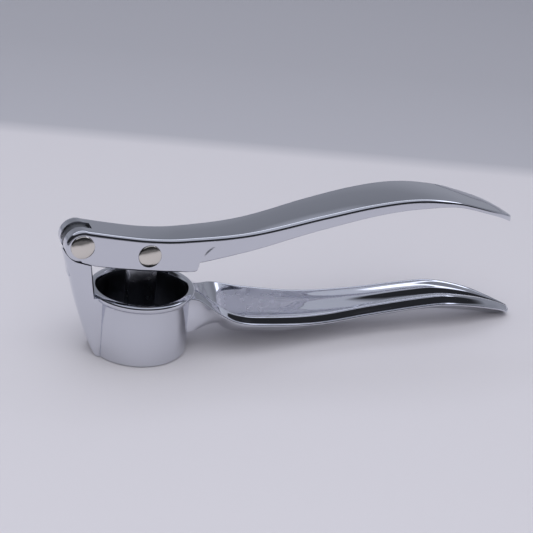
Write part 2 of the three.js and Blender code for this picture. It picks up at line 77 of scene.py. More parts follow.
class Slot(Enum):
    """The record's material slots."""

    CASTING = "chrome_casting"
    PLUNGER = "chrome_plunger"
    RIVET = "nickel_rivet"
    STRAINER = "strainer_steel"


def point(x: float, y: float, z: float) -> Vector:
    """A place in the frame, in metres, from millimetres about the cup's axis."""
    return Vector(((x + AXIS_X) * MM, y * MM, z * MM))


def graph(points: Sequence[Pair]) -> Callable[[float], float]:
    """A smooth graph through points.

    Args:
        points: (x, value) pairs in rising x.

    Returns:
        A function from x to value, level with the end values outside the points.
    """
    last = len(points) - 1
    slopes = []
    for i in range(last + 1):
        (xa, va), (xb, vb) = points[max(i - 1, 0)], points[min(i + 1, last)]
        slopes.append((vb - va) / (xb - xa))

    def value(x: float) -> float:
        i = 0
        while i < last - 1 and x > points[i + 1][0]:
            i += 1
        (x0, v0), (x1, v1) = points[i], points[i + 1]
        h = x1 - x0
        t = min(max((x - x0) / h, 0.0), 1.0)
        start = v0 * (1 + 2 * t) * (1 - t) ** 2 + slopes[i] * h * t * (1 - t) ** 2
        return start + v1 * t * t * (3 - 2 * t) - slopes[i + 1] * h * t * t * (1 - t)

    return value


def straight(points: Sequence[Pair]) -> Callable[[float], float]:
    """A graph of straight lines through (x, value) points."""

    def value(x: float) -> float:
        for (x0, v0), (x1, v1) in zip(points, points[1:]):
            if x <= x1:
                return v0 + (v1 - v0) * max((x - x0) / (x1 - x0), 0.0)
        return points[-1][1]

    return value


def smooth_step(low: float, high: float, x: float) -> float:
    """0 below low, 1 above high, and a smooth rise between."""
    t = min(max((x - low) / (high - low), 0.0), 1.0)
    return t * t * (3 - 2 * t)


def spread(start: float, end: float, step: float) -> list[float]:
    """Even stations from start up to, and without, end, about step apart."""
    count = max(round((end - start) / step), 1)
    return [start + (end - start) * i / count for i in range(count)]


@dataclass(frozen=True)
class Metal:
    """A plated or polished metal, with the fine unevenness of the real surface.

    Attributes:
        name: the material's name.
        colour: its reflection colour, linear.
        polish: mean roughness.
        haze: how much the roughness wanders either side of the mean.
        haze_scale: patches per metre of that wandering.
        ripple: height of the casting's waviness in metres, from bump.
        ripple_scale: waves per metre.
    """

    name: str
    colour: tuple[float, float, float]
    polish: float
    haze: float
    haze_scale: float
    ripple: float
    ripple_scale: float

    def make(self) -> bpy.types.Material:
        """Builds the node material."""
        material = bpy.data.materials.new(self.name)
        material.use_nodes = True
        nodes, links = material.node_tree.nodes, material.node_tree.links
        shader = nodes["Principled BSDF"]
        shader.inputs["Metallic"].default_value = 1.0
        shader.inputs["Base Color"].default_value = (*self.colour, 1)
        place = nodes.new("ShaderNodeTexCoord")
        haze = nodes.new("ShaderNodeTexNoise")
        haze.inputs["Scale"].default_value = self.haze_scale
        haze.inputs["Detail"].default_value = 4.0
        links.new(place.outputs["Object"], haze.inputs["Vector"])
        level = nodes.new("ShaderNodeMapRange")
        level.inputs["From Min"].default_value = NOISE_RANGE[0]
        level.inputs["From Max"].default_value = NOISE_RANGE[1]
        level.inputs["To Min"].default_value = max(self.polish - self.haze, 0.0)
        level.inputs["To Max"].default_value = self.polish + self.haze
        links.new(haze.outputs["Fac"], level.inputs["Value"])
        links.new(level.outputs["Result"], shader.inputs["Roughness"])
        wave = nodes.new("ShaderNodeTexNoise")
        wave.inputs["Scale"].default_value = self.ripple_scale
        wave.inputs["Detail"].default_value = 1.0
        links.new(place.outputs["Object"], wave.inputs["Vector"])
        bump = nodes.new("ShaderNodeBump")
        bump.inputs["Strength"].default_value = 1.0
        bump.inputs["Distance"].default_value = self.ripple
        links.new(wave.outputs["Fac"], bump.inputs["Height"])
        links.new(bump.outputs["Normal"], shader.inputs["Normal"])
        return material


CHROME = Metal("bright_chrome", (0.67, 0.685, 0.74), 0.045, 0.02, 160, 0.00006, 55)
# The dark colour is painted shade on the cup's inside and the tongue's top; the higher roughness
# is a rougher surface.
SHADED_DULL_CHROME = Metal("dull_chrome_painted_shade", (0.16, 0.165, 0.18), 0.36, 0.08, 300, 0.00008, 200)
# The pale colour is painted light on the lever's channel and slot; the higher roughness is a
# rougher surface.
LIT_SOFT_CHROME = Metal("soft_chrome_painted_light", (0.93, 0.94, 0.98), 0.30, 0.08, 300, 0.00008, 200)
# The plunger's darker colour is painted shade.
SHADED_PLUNGER_CHROME = Metal("plunger_chrome_painted_shade", (0.40, 0.41, 0.44), 0.24, 0.05, 400, 0.00004, 150)
NICKEL = Metal("rivet_nickel", (0.76, 0.72, 0.66), 0.13, 0.04, 700, 0.00003, 500)
SATIN_STEEL = Metal("satin_steel", (0.68, 0.69, 0.70), 0.3, 0.08, 1500, 0.00001, 3000)


class Workshop:
    """Mesh and boolean jobs that every sub-assembly uses."""

    @staticmethod
    def loft(sections: Sequence[Section]) -> bmesh.types.BMesh:
        """Skins closed sections that have the same number of points.

        Args:
            sections: rings of places in the frame, from one end to the other.

        Returns:
            A closed bmesh.
        """
        bm = bmesh.new()
        count = len(sections[0])
        rings = []
        for section in sections:
            made = bmesh.ops.create_circle(bm, segments=count, radius=MM)["verts"]
            for vertex, place in zip(made, section):
                vertex.co = place
            rings.append(list({edge for vertex in made for edge in vertex.link_edges}))
        for near, far in zip(rings, rings[1:]):
            bmesh.ops.bridge_loops(bm, edges=near + far)
        for ring in (rings[0], rings[-1]):
            bmesh.ops.contextual_create(bm, geom=ring)
        return bm

    @staticmethod
    def slab(outline: Sequence[Pair], half: float) -> bmesh.types.BMesh:
        """An outline of (x, z) points, given thickness from -half to half across the press."""
        bm = bmesh.new()
        made = bmesh.ops.create_circle(bm, segments=len(outline), radius=MM, cap_ends=True)
        ring = made["verts"]
        for vertex, (x, z) in zip(ring, outline):
            vertex.co = point(x, -half, z)
        grown = bmesh.ops.extrude_face_region(bm, geom=list(bm.faces))["geom"]
        moved = [part for part in grown if isinstance(part, bmesh.types.BMVert)]
        bmesh.ops.translate(bm, verts=moved, vec=(0, 2 * half * MM, 0))
        return bm

    @staticmethod
    def lathe(profile: Sequence[Pair], steps: int) -> bmesh.types.BMesh:
        """Turns a profile of (radius, z) points about the cup's axis.

        Args:
            profile: the points, from one end to the other.
            steps: how many steps make the full turn.

        Returns:
            A bmesh, which is closed when the profile's ends are on the axis.
        """
        bm = bmesh.new()
        verts = [bm.verts.new(point(r, 0, z)) for r, z in profile]
        edges = [bm.edges.new(pair) for pair in zip(verts, verts[1:])]
        centre = point(0, 0, 0)
        bmesh.ops.spin(
            bm, geom=verts + edges, cent=centre, axis=(0, 0, 1), dvec=(0, 0, 0),
            angle=2 * math.pi, steps=steps, use_merge=True, use_duplicate=False,
        )
        bmesh.ops.remove_doubles(bm, verts=list(bm.verts), dist=1e-7)
        return bm

    @staticmethod
    def lay_across(bm: bmesh.types.BMesh, x: float, z: float, turn: float) -> None:
        """Lays what was turned about the cup's axis along y, through (x, z)."""
        centre = point(0, 0, 0)
        turned = Matrix.Rotation(turn, 3, "X")
        bmesh.ops.rotate(bm, verts=list(bm.verts), cent=centre, matrix=turned)
        bmesh.ops.translate(bm, verts=list(bm.verts), vec=Vector((x, 0, z)) * MM)

    @classmethod
    def bar(cls, x: float, z: float, radius: float, half: float) -> bmesh.types.BMesh:
        """A round bar across the press through (x, z)."""
        bm = cls.lathe([(0, -half), (radius, -half), (radius, half), (0, half)], ROUND_STEPS)
        cls.lay_across(bm, x, z, math.pi / 2)
        return bm

    @staticmethod
    def soften(bm: bmesh.types.BMesh, width: float, angle: float) -> None:
        """Rounds every edge that is sharper than angle degrees."""
        bmesh.ops.recalc_face_normals(bm, faces=list(bm.faces))
        limit = math.radians(angle)
        sharp = [e for e in bm.edges if e.is_manifold and e.calc_face_angle(0.0) > limit]
        bmesh.ops.bevel(
            bm, geom=sharp, offset=width * MM, offset_type="OFFSET", affect="EDGES",
            segments=3, profile=0.5, material=-1, clamp_overlap=True,
        )

    @staticmethod
    def solid(name: str, bm: bmesh.types.BMesh) -> bpy.types.Object:
        """Makes an object of a bmesh, with its faces turned outwards."""
        bmesh.ops.recalc_face_normals(bm, faces=list(bm.faces))
        mesh = bpy.data.meshes.new(name)
        bm.to_mesh(mesh)
        bm.free()
        made = bpy.data.objects.new(name, mesh)
        bpy.context.scene.collection.objects.link(made)
        return made

    @staticmethod
    def settle(made: bpy.types.Object) -> None:
        """Applies an object's modifiers to its mesh."""
        graph_now = bpy.context.evaluated_depsgraph_get()
        mesh = bpy.data.meshes.new_from_object(made.evaluated_get(graph_now))
        made.modifiers.clear()
        old, made.data = made.data, mesh
        bpy.data.meshes.remove(old)

    @classmethod
    def combine(
        cls, made: bpy.types.Object, others: Sequence[bmesh.types.BMesh], operation: str
    ) -> None:
        """Joins solids to an object, or cuts them out of it.

        Args:
            made: the object that changes.
            others: closed bmeshes, which are used up.
            operation: UNION or DIFFERENCE.
        """
        tools = [cls.solid("tool", other) for other in others]
        for tool in tools:
            job = made.modifiers.new("job", "BOOLEAN")
            job.operation, job.solver, job.object = operation, "EXACT", tool
        cls.settle(made)
        for tool in tools:
            mesh = tool.data
            bpy.data.objects.remove(tool)
            bpy.data.meshes.remove(mesh)

    @staticmethod
    def finish(
        made: bpy.types.Object, metal: bpy.types.Material, body: Body, slot: Slot,
        nodes: Sequence[str],
        inside: tuple[Metal, Callable[[Vector], bool]] | None = None,
    ) -> None:
        """Shades, dresses and places a finished piece on its body.

        Args:
            made: the piece.
            metal: its material.
            body: the body it rides on.
            slot: the record's slot that its finish belongs to; not used.
            nodes: the CAD nodes it stands for.
            inside: a second, rougher material for inner faces, whose colour is painted shade on
                the lower casting and painted light on the lever, and whether a face with a given
                centre, in mm, has it.
        """
        made.data.materials.clear()
        made.data.materials.append(metal)
        if inside:
            made.data.materials.append(inside[0].make())
        for face in made.data.polygons:
            centre = face.center / MM - Vector((AXIS_X, 0, 0))
            face.material_index = int(bool(inside and inside[1](centre)))
        made.data.shade_smooth()
        made.data.set_sharp_from_angle(angle=math.radians(CREASE))
        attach(made, body.value)
        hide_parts(*nodes)
        LOG.info("%s: %d faces on %s", made.name, len(made.data.polygons), body.value)


@dataclass
class Lever:
    """The upper casting: cheeks, roof, skirts and the channel under them.

    Its lines are (x, value) points: heights of the top edges and of the cheeks' lower edges,
    half widths of the outside, and depths from the top to the skirts' edges.
    """

    nose: float = 5.3  # radius of the cheeks round the hinge
    edge: float = 1.15  # rounding of the top edges
    low_edge: float = 0.6  # rounding of the lower edges
    reach: float = 140.3  # x of the tip
    step_x: float = 17.2  # x of the step where the cheeks end
    wall: float = 1.9  # thickness of the skirts
    roof: float = 1.9  # thickness over the channel
    side_points: int = 26
    flare_centre: Pair = (24.5, 31.5)  # of the arc that the thicker part starts on
    flare_radius: float = 7.3
    flare_height: float = 0.22
    flare_fade_x: Pair = (26, 60)
    flare_fade_z: Pair = (3.0, 9.0)  # above flare_centre
    tip_round: float = 2.5  # length over which the tip narrows, seen from above
    tip_edge: float = 1.6  # length over which it thins, seen from the side
    channel_x: float = 21.0  # where the channel starts
    channel_stop: float = 3  # its last station is a step or less before this distance to the tip
    top_line: tuple[Pair, ...] = (
        (-20.5, 44.95), (-10.1, 42.9), (0, 41.3), (11, 40.7), (34.4, 42.2), (60.3, 47.8),
        (78.75, 51.3), (94.8, 52.6), (110.8, 51.0), (128, 46.5), (134, 44.5), (140.3, 41.6),
    )
    half_line: tuple[Pair, ...] = (
        (-20, 6.4), (0, 6.45), (14, 6.75), (22, 7.1), (30, 7.5), (41.8, 8.1), (64, 9.4),
        (88.6, 10.1), (109.5, 10.1), (120, 9.9), (128, 9.0), (134, 7.0), (138, 4.6), (140.3, 3.0),
    )
    low_line: tuple[Pair, ...] = (
        (-22.84, 34.75), (-17.9, 33.0), (-10, 31.5), (-3, 30.45), (5, 29.6), (13, 29.08),
        (15.6, 29.05), (16.2, 29.2), (16.6, 29.7), (17.2, 32.2),
    )
    depth_line: tuple[Pair, ...] = (
        (17.2, 8.6), (30.7, 6.7), (50.4, 5.25), (78.8, 4.2), (97, 3.5), (107, 2.4),
        (113, 1.8), (125, 1.8), (134, 2.2), (140.3, 2.5),
    )

    def __post_init__(self) -> None:
        """Makes the lever's curves from their points."""
        self.top_graph = graph(self.top_line)
        self.half_graph = graph(self.half_line)
        self.low_graph = straight(self.low_line)
        self.depth_graph = graph(self.depth_line)

    def top(self, x: float) -> float:
        """Height of the top edges at x."""
        nose_end = HINGE[0] + 1.5
        if x > nose_end:
            return self.top_graph(x)
        return HINGE[1] + math.sqrt(max(self.nose**2 - (x - HINGE[0]) ** 2, 0))

    def low(self, x: float) -> float:
        """Height of the lower edges at x."""
        if x < self.low_line[0][0]:
            return HINGE[1] - math.sqrt(max(self.nose**2 - (x - HINGE[0]) ** 2, 0))
        if x < self.step_x:
            return self.low_graph(x)
        return self.top(x) - self.depth_graph(x)

    def half(self, x: float, z: float) -> float:
        """Half width of the outside at x and z, before the edges are rounded."""
        wide = self.half_graph(x)
        if x > self.reach - self.tip_round:
            past = (x - self.reach + self.tip_round) / self.tip_round
            return wide * math.sqrt(max(1 - past**2, 0.02))
        cx, cz = self.flare_centre
        rise = min(max(z - cz, 0.0), 0.92 * self.flare_radius)
        start = cx - math.sqrt(self.flare_radius**2 - rise**2)
        fade = 1 - smooth_step(*self.flare_fade_x, x)
        fade *= 1 - smooth_step(*self.flare_fade_z, z - cz)
        return wide + self.flare_height * fade * smooth_step(-0.3, 1.1, x - start)

    def section(self, x: float) -> Section:
        """The outside's ring of points at x."""
        top, low = self.top(x), self.low(x)
        middle, reach = (top + low) / 2, (top - low) / 2
        past = max(x - self.reach + self.tip_edge, 0.0) / self.tip_edge
        reach *= math.sqrt(1 - 0.97 * past**2)
        top, low = middle + reach, middle - reach
        in_nose = x < HINGE[0]
        side = []
        for i in range(self.side_points):
            z = middle + reach * math.cos(math.pi * i / (self.side_points - 1))
            upper = z > middle
            wide = self.half(x, z)
            limit = self.edge if upper or in_nose else self.low_edge
            radius = min(limit, 0.9 * reach if not in_nose else limit, 0.6 * wide)
            if in_nose:
                inset = self.nose - math.hypot(x - HINGE[0], z - HINGE[1])
            else:
                inset = min(top - z, z - low)
            inset = min(max(inset, 0.0), radius)
            side.append((wide - radius + math.sqrt(radius**2 - (radius - inset) ** 2), z))
        crown = 0.05 * side[0][0] * smooth_step(-18, 30, x)
        cap = [(side[0][0] * k / 5, top + crown * (1 - (k / 5) ** 2)) for k in range(5)]
        base = [(side[-1][0] * k / 4, low) for k in (3, 2, 1)]
        right = cap + side + base
        left = [(-y, z) for y, z in reversed(right[1:])]
        return [point(x, -y, z) for y, z in right + [(0, low)] + left]

    def stations(self) -> list[float]:
        """Where the outside's rings stand along the lever."""
        start = HINGE[0] - self.nose
        nose = [start + self.nose * (1 - math.cos(math.radians(a))) for a in range(3, 90, 4)]
        step = [15.6, 15.9, 16.2, 16.4, 16.6, 16.8, 17.0]
        tip = [
            self.reach - self.tip_round * (1 - math.sin(math.radians(a)))
            for a in range(4, 90, 7)
        ]
        return (
            [start + 0.003] + nose + spread(HINGE[0], 15.6, 0.9) + step
            + spread(self.step_x, 30.0, 0.35)[:-1]
            + spread(30.0, self.reach - self.tip_round, 1.0) + tip + [self.reach]
        )

    def channel(self) -> bmesh.types.BMesh:
        """What is cut away under the roof, between the skirts."""
        sections = []
        for x in spread(self.channel_x, self.reach - self.channel_stop, 1.5):
            depth = self.depth_graph(x)
            half = max(self.half(x, self.low(x)) - self.wall, 0.3)
            top = self.top(x) - min(self.roof, 0.6 * depth)
            low = self.low(x) - 1.0
            corner = min(1.0, 0.4 * half)
            arc = [math.radians(a) for a in range(90, -1, -15)]
            side = [
                (half - corner + corner * math.cos(a), top - corner + corner * math.sin(a))
                for a in arc
            ]
            right = [(0.0, top + 0.02 * half)] + side + [(half, low)]
            left = [(-y, z) for y, z in reversed(right[1:])]
            sections.append([point(x, -y, z) for y, z in right + left])
        return Workshop.loft(sections)

    def slot_tools(self) -> list[bmesh.types.BMesh]:
        """What is cut out between the cheeks: open above the tongue, roofed over the stem."""
        open_end, stem_end, roof, tongue_room = -18.4, 9.6, 1.5, 5.2
        past_nose, below, above = -36.0, 22.0, 56.0
        outline = [(past_nose, below), (stem_end, below)]
        outline += [(x, self.top(x) - roof) for x in (stem_end, 6, 2, -2, -6, -10, -14, open_end)]
        outline += [(open_end, above), (past_nose, above)]
        return [
            Workshop.slab(outline, SLOT_HALF),
            Workshop.bar(*HINGE, tongue_room, SLOT_HALF),
        ]

    def build(self, metal: bpy.types.Material) -> None:
        """Makes the casting and dresses it."""
        skin = Workshop.loft([self.section(x) for x in self.stations()])
        body = Workshop.solid("lever_casting", skin)
        bores = [Workshop.bar(*HINGE, BORE, ACROSS), Workshop.bar(*PIVOT, BORE, ACROSS)]
        Workshop.combine(body, [self.channel(), *self.slot_tools(), *bores], "DIFFERENCE")
        # The channel and the slot get a pale colour as painted light.
        Workshop.finish(
            body, metal, Body.UPPER, Slot.CASTING, ["upper_handle"],
            inside=(LIT_SOFT_CHROME, self.in_channel),
        )

    def in_channel(self, p: Vector) -> bool:
        """Whether a place is on the channel's or the slot's inside, which is rougher and gets a
        pale colour as painted light.
        """
        if p.x < self.step_x:
            return abs(p.y) < SLOT_HALF + 0.05 and p.z < self.top(p.x) - 1.0
        inner = self.half(p.x, self.low(p.x)) - 0.8 * self.wall
        return abs(p.y) < inner and self.low(p.x) + 0.02 < p.z < self.top(p.x) - 0.5 * self.roof


@dataclass
class Cup:
    """The round cup: foot, wall, shoulder, rim bead, mouth, bore and the plate's ledge."""

    height: float = 22.4
    wall_r: float = 16.2
    rim_r: float = 17.6
    bore_r: float = 14.8
    mouth_r: float = 15.5
    ledge_r: float = 13.1  # radius of the opening under the plate
    ledge_z: float = 1.5  # height of the ledge that carries it
    steps: int = 160
    over: float = 2.0  # how far the hollow's tool passes the foot
    clear: float = 6.0  # how far it stands over the rim

    def outside(self) -> bmesh.types.BMesh:
        """The cup's outside, solid to the axis."""
        top, wall, rim = self.height, self.wall_r, self.rim_r
        shoulder = [
            (wall, top - 3.1), (wall + 0.12, top - 2.75), (wall + 0.42, top - 2.4),
            (wall + 0.85, top - 2.05), (wall + 1.15, top - 1.7), (rim - 0.08, top - 1.25),
            (rim, top - 0.85), (rim - 0.08, top - 0.45), (rim - 0.28, top - 0.16),
            (rim - 0.6, top),
        ]
        foot = [(0, 0), (wall - 0.75, 0), (wall - 0.4, 0.1), (wall - 0.12, 0.35), (wall, 0.75)]
        return Workshop.lathe([*foot, (wall, 6), (wall, 13), *shoulder, (0, top)], self.steps)

    def hollow(self) -> bmesh.types.BMesh:
        """What is cut out of the cup."""
        top, bore, mouth = self.height, self.bore_r, self.mouth_r
        inside = [
            (0, -self.over), (self.ledge_r, -self.over), (self.ledge_r, self.ledge_z),
            (bore, self.ledge_z), (bore, top - 3.0), (bore + 0.06, top - 2.0),
            (bore + 0.22, top - 1.1),
            (bore + 0.42, top - 0.5), (mouth, top + 0.01), (mouth + 0.4, top + 0.3),
            (mouth + 0.4, top + self.clear), (0, top + self.clear),
        ]
        return Workshop.lathe(inside, self.steps)


@dataclass
class Lug:
    """The lug beside the cup: it rises past the rim, leans away and carries the tongue."""

    nose: float = 5.0  # radius of its round back
    half: float = 6.3  # half width
    land: float = 0.9  # least flat between the round back and the front
    foot_face: float = -14.2  # x of its front inside the cup's wall
    rim_face: float = -17.3  # x of its front at the rim
    face: float = -18.8  # x of its front above the lean
    step: float = 21.6  # height where the lean starts
    lean_end: float = 33.0  # height where the lean ends
    top: float = 38.5
    corner: float = 0.7  # radius of the front corners
    seat: float = 5.6  # radius of the seat round the cheeks' nose
    seat_fall: float = 1.85  # how far the seat falls to the front
    tongue_r: float = 4.9
    tongue_foot: float = 28.0  # height where the tongue starts, inside the lug
    back_line: tuple[Pair, ...] = (
        (0.3, -16.3), (3.2, -17.7), (17.2, -22.2), (29.2, -25.2), (35, -26.7), (40, -27.5),
    )

    def __post_init__(self) -> None:
        """Makes the leaning line of the lug's face above the rim."""
        self.face_graph = straight([(self.step, self.rim_face), (self.lean_end, self.face)])

    def section(self, z: float) -> Section:
        """The lug's ring at height z: round behind, square with soft corners in front."""
        back = graph(self.back_line)(z)
        front = self.foot_face if z < self.step else self.face_graph(z)
        nose = min(self.nose, front - back - self.land)
        corner = self.corner
        ring = []
        for centre, radius, start in (
            ((back + nose, self.half - nose), nose, 90),
            ((back + nose, nose - self.half), nose, 180),
            ((front - corner, corner - self.half), corner, 270),
            ((front - corner, self.half - corner), corner, 0),
        ):
            for i in range(9):
                a = math.radians(start + i * 90 / 8)
                x, y = centre[0] + radius * math.cos(a), centre[1] + radius * math.sin(a)
                ring.append(point(x, y, z))
        return ring

    def shank(self) -> bmesh.types.BMesh:
        """The lug from the cup's foot up to its seat, before the seat is cut."""
        below = self.step - 0.02
        heights = [0.3, 0.8, 1.6, 2.4, 3.2, *spread(4.2, below, 1.3), below]
        heights += [*spread(self.step, self.top, 1.2), self.top]
        return Workshop.loft([self.section(z) for z in heights])

    def seat_tools(self) -> list[bmesh.types.BMesh]:
        """What is cut out of the lug's top, round the cheeks' nose."""
        x, z = HINGE
        back, front, above = x - 0.5, self.face + 2, z + 8
        over = [(back, z - self.seat), (front, z - self.seat - self.seat_fall)]
        over += [(front, above), (back, above)]
        return [Workshop.bar(x, z, self.seat, ACROSS), Workshop.slab(over, ACROSS)]

    def tongue(self) -> bmesh.types.BMesh:
        """The flat tongue that stands between the cheeks."""
        x, z = HINGE
        arc = [math.radians(a) for a in range(-15, 191, 5)]
        outline = [(x + self.tongue_r * math.cos(a), z + self.tongue_r * math.sin(a)) for a in arc]
        outline += [(x - 3.2, self.tongue_foot), (self.face - 0.6, self.tongue_foot)]
        bm = Workshop.slab(outline, FLAT_HALF)
        Workshop.soften(bm, FLAT_EDGE, angle=60)
        return bm


@dataclass
class Trough:
    """The lower handle: two rails round a trough, with a keel under the neck.

    Its lines are (x, value) points. A crest is the top of a rail, its lip is the outer edge
    below that, and the keel is where the underside starts. keel_rise is a share of the height
    from the bottom to the lip.
    """

    reach: float = 148.0  # x of the tip
    start: float = 11.5  # x of the end inside the cup's wall
    depth_share: float = 0.66  # trough's depth as a share of crest_y
    wall: float = 1.9  # least thickness under the trough
    crest_round: float = 1.3  # most rounding of the rails' crests
    lip_bead: float = 0.58  # most rounding of the outer lips
    tip_round: float = 2.4  # length over which the tip closes
    tip_close: float = 0.88  # how much of it closes, as a square
    groove_x: Pair = (54, 94)  # where the trough turns into a narrow groove
    ring_points: int = 120
    crest_z: tuple[Pair, ...] = (
        (13.2, 21.2), (17.6, 20.8), (22.2, 18.4), (29.3, 15.45), (43.7, 12.9), (61.9, 11.2),
        (82.8, 11.9), (103.7, 13.1), (115.4, 13.0), (129.7, 10.1), (140.2, 6.3), (148, 2.9),
    )
    crest_y: tuple[Pair, ...] = (
        (13.2, 1.2), (17.6, 1.6), (22.2, 6.0), (29.3, 12.3), (39.8, 11.6), (61.9, 9.1),
        (82.8, 7.1), (103.7, 6.5), (120.6, 6.1), (132.4, 4.2), (141.5, 1.8), (148, 0.36),
    )
    lip_y: tuple[Pair, ...] = (
        (13.2, 7.5), (17.6, 8.6), (23.5, 12.4), (30.6, 14.8), (43.7, 13.9), (63.2, 11.7),
        (82.8, 9.7), (103.7, 9.2), (120.6, 8.8), (132.4, 7.4), (141.5, 5.6), (148, 3.6),
    )
    bottom_z: tuple[Pair, ...] = (
        (13.2, 5.6), (17.6, 6.4), (22.8, 7.8), (29.3, 8.4), (43.7, 6.9), (64.5, 4.6),
        (89.3, 5.2), (108.9, 6.2), (128.4, 3.4), (141.5, 0.45), (148, 0.1),
    )
    lip_drop: tuple[Pair, ...] = (
        (13.2, 1.4), (17.6, 1.5), (29.3, 2.2), (50.2, 2.5), (99.8, 2.8), (129.7, 2.4), (148, 0.6),
    )
    keel_y: tuple[Pair, ...] = (
        (13.2, 7.4), (17.6, 7.2), (22.8, 6.6), (29.3, 7.8), (43.7, 10.1), (63.2, 8.35),
        (82.8, 6.9), (120.6, 6.1), (141.5, 2.7), (148, 0.45),
    )
    keel_rise: tuple[Pair, ...] = ((13.2, 0.08), (17.6, 0.1), (28, 0.22), (43.7, 0.4), (148, 0.4))

    def __post_init__(self) -> None:
        """Makes the handle's curves from their points."""
        names = ("crest_z", "crest_y", "lip_y", "bottom_z", "lip_drop", "keel_y", "keel_rise")
        self.at = {name: graph(getattr(self, name)) for name in names}

    def corners(self, x: float) -> list[Pair]:
        """The (y, z) points that the section at x is drawn through, right half, top to bottom."""
        crest, c, w = self.at["crest_z"](x), self.at["crest_y"](x), self.at["lip_y"](x)
        k = self.at["keel_y"](x)
        past = max(x - self.reach + self.tip_round, 0.0) / self.tip_round
        shrink = math.sqrt(1 - self.tip_close * past**2)
        c, w, k = c * shrink, w * shrink, k * shrink
        round_r = min(0.4 * (w - c), self.crest_round)
        depth = self.depth_share * c
        floor = crest - depth
        bottom = max(min(self.at["bottom_z"](x), floor - self.wall), 0.05)
        lip = crest - max(self.at["lip_drop"](x), 1.1 * round_r)
        keel = bottom + self.at["keel_rise"](x) * (lip - bottom)
        brow, brow_z = c + 1.15 * round_r, crest - 0.3 * round_r
        bead = min(self.lip_bead, 0.23 * (w - c))
        bead_z = lip + 0.3 * bead
        groove = smooth_step(*self.groove_x, x)
        return [
            (0, floor), ((0.2 - 0.13 * groove) * c, floor + (0.08 - 0.03 * groove) * depth),
            ((0.46 - 0.2 * groove) * c, floor + 0.37 * depth),
            ((0.72 - 0.26 * groove) * c, floor + (0.68 + 0.05 * groove) * depth),
            (c - 0.4 * round_r, crest - 0.38 * round_r),
            (c, crest - 0.1 * round_r), (c + 0.44 * round_r, crest),
            (c + 0.85 * round_r, crest - 0.12 * round_r), (brow, brow_z),
            (0.5 * brow + 0.5 * (w - bead), 0.5 * brow_z + 0.5 * bead_z),
            (w - bead, bead_z), (w - 0.4 * bead, lip + 0.16 * bead),
            (w, lip - 0.4 * bead), (0.985 * w, lip - 1.1 * bead),
            (0.93 * w, lip - 0.2 * (lip - bottom)), (k, keel),
            (0.55 * k, bottom + 0.15 * (keel - bottom)), (0, bottom),
        ]

    def section(self, x: float) -> Section:
        """The ring at x: a centripetal curve through the corners, sampled evenly by share."""
        right = self.corners(x)
        ring = right + [(-y, z) for y, z in reversed(right[1:-1])]
        count = len(ring)
        pts = [Vector((y, z)) for y, z in ring]
        places = []
        for i in range(self.ring_points):
            at = i * count / self.ring_points
            k = int(at)
            p0, p1, p2, p3 = (pts[(k + d) % count] for d in (-1, 0, 1, 2))
            places.append(self.catmull(p0, p1, p2, p3, at - k))
        return [point(x, -p.x, p.y) for p in places]

    @staticmethod
    def catmull(p0: Vector, p1: Vector, p2: Vector, p3: Vector, t: float) -> Vector:
        """A point at share t between p1 and p2 on the centripetal curve through four points."""
        k0 = 0.0
        k1 = k0 + max((p1 - p0).length, 1e-4) ** 0.5
        k2 = k1 + max((p2 - p1).length, 1e-4) ** 0.5
        k3 = k2 + max((p3 - p2).length, 1e-4) ** 0.5
        k = k1 + t * (k2 - k1)
        a1 = p0.lerp(p1, (k - k0) / (k1 - k0))
        a2 = p1.lerp(p2, (k - k1) / (k2 - k1))
        a3 = p2.lerp(p3, (k - k2) / (k3 - k2))
        b1 = a1.lerp(a2, (k - k0) / (k2 - k0))
        b2 = a2.lerp(a3, (k - k1) / (k3 - k1))
        return b1.lerp(b2, (k - k1) / (k2 - k1))

    def shape(self) -> bmesh.types.BMesh:
        """The whole handle, from inside the cup's wall to its tip, where the rings draw closer."""
        fine = 4
        tip = [self.reach - fine * (1 - math.sin(math.radians(a))) for a in range(6, 90, 7)]
        stations = spread(self.start, self.reach - fine, 1.0) + tip + [self.reach]
        return Workshop.loft([self.section(x) for x in stations])


@dataclass
class LowerCasting:
    """The lower casting: cup, lug, tongue and trough handle in one piece."""

    cup: Cup = field(default_factory=Cup)
    lug: Lug = field(default_factory=Lug)
    trough: Trough = field(default_factory=Trough)

    def build(self, metal: bpy.types.Material) -> None:
        """Makes the casting and dresses it."""
        lug = Workshop.solid("lug", self.lug.shank())
        Workshop.combine(lug, self.lug.seat_tools(), "DIFFERENCE")
        shank = bmesh.new()
        shank.from_mesh(lug.data)
        bpy.data.objects.remove(lug)
        body = Workshop.solid("cup_casting", self.cup.outside())
        Workshop.combine(body, [shank, self.lug.tongue(), self.trough.shape()], "UNION")
        bore = Workshop.bar(*HINGE, BORE, ACROSS)
        Workshop.combine(body, [self.cup.hollow(), bore], "DIFFERENCE")
        # The cup's inside and the tongue's top get a dark colour as painted shade.
        Workshop.finish(
            body, metal, Body.LOWER, Slot.CASTING, ["lower_handle"],
            inside=(SHADED_DULL_CHROME, self.in_painted_shade),
        )

    def in_painted_shade(self, p: Vector) -> bool:
        """Whether a place is on the cup's inside or the tongue's top, which are rougher and get a
        dark colour as painted shade.
        """
        on_tongue = abs(p.y) < SLOT_HALF - 0.1 and p.z > HINGE[1] - 1.0
        return on_tongue or (
            math.hypot(p.x, p.y) < self.cup.bore_r + 0.15 and p.z < self.cup.height - 0.8
        )


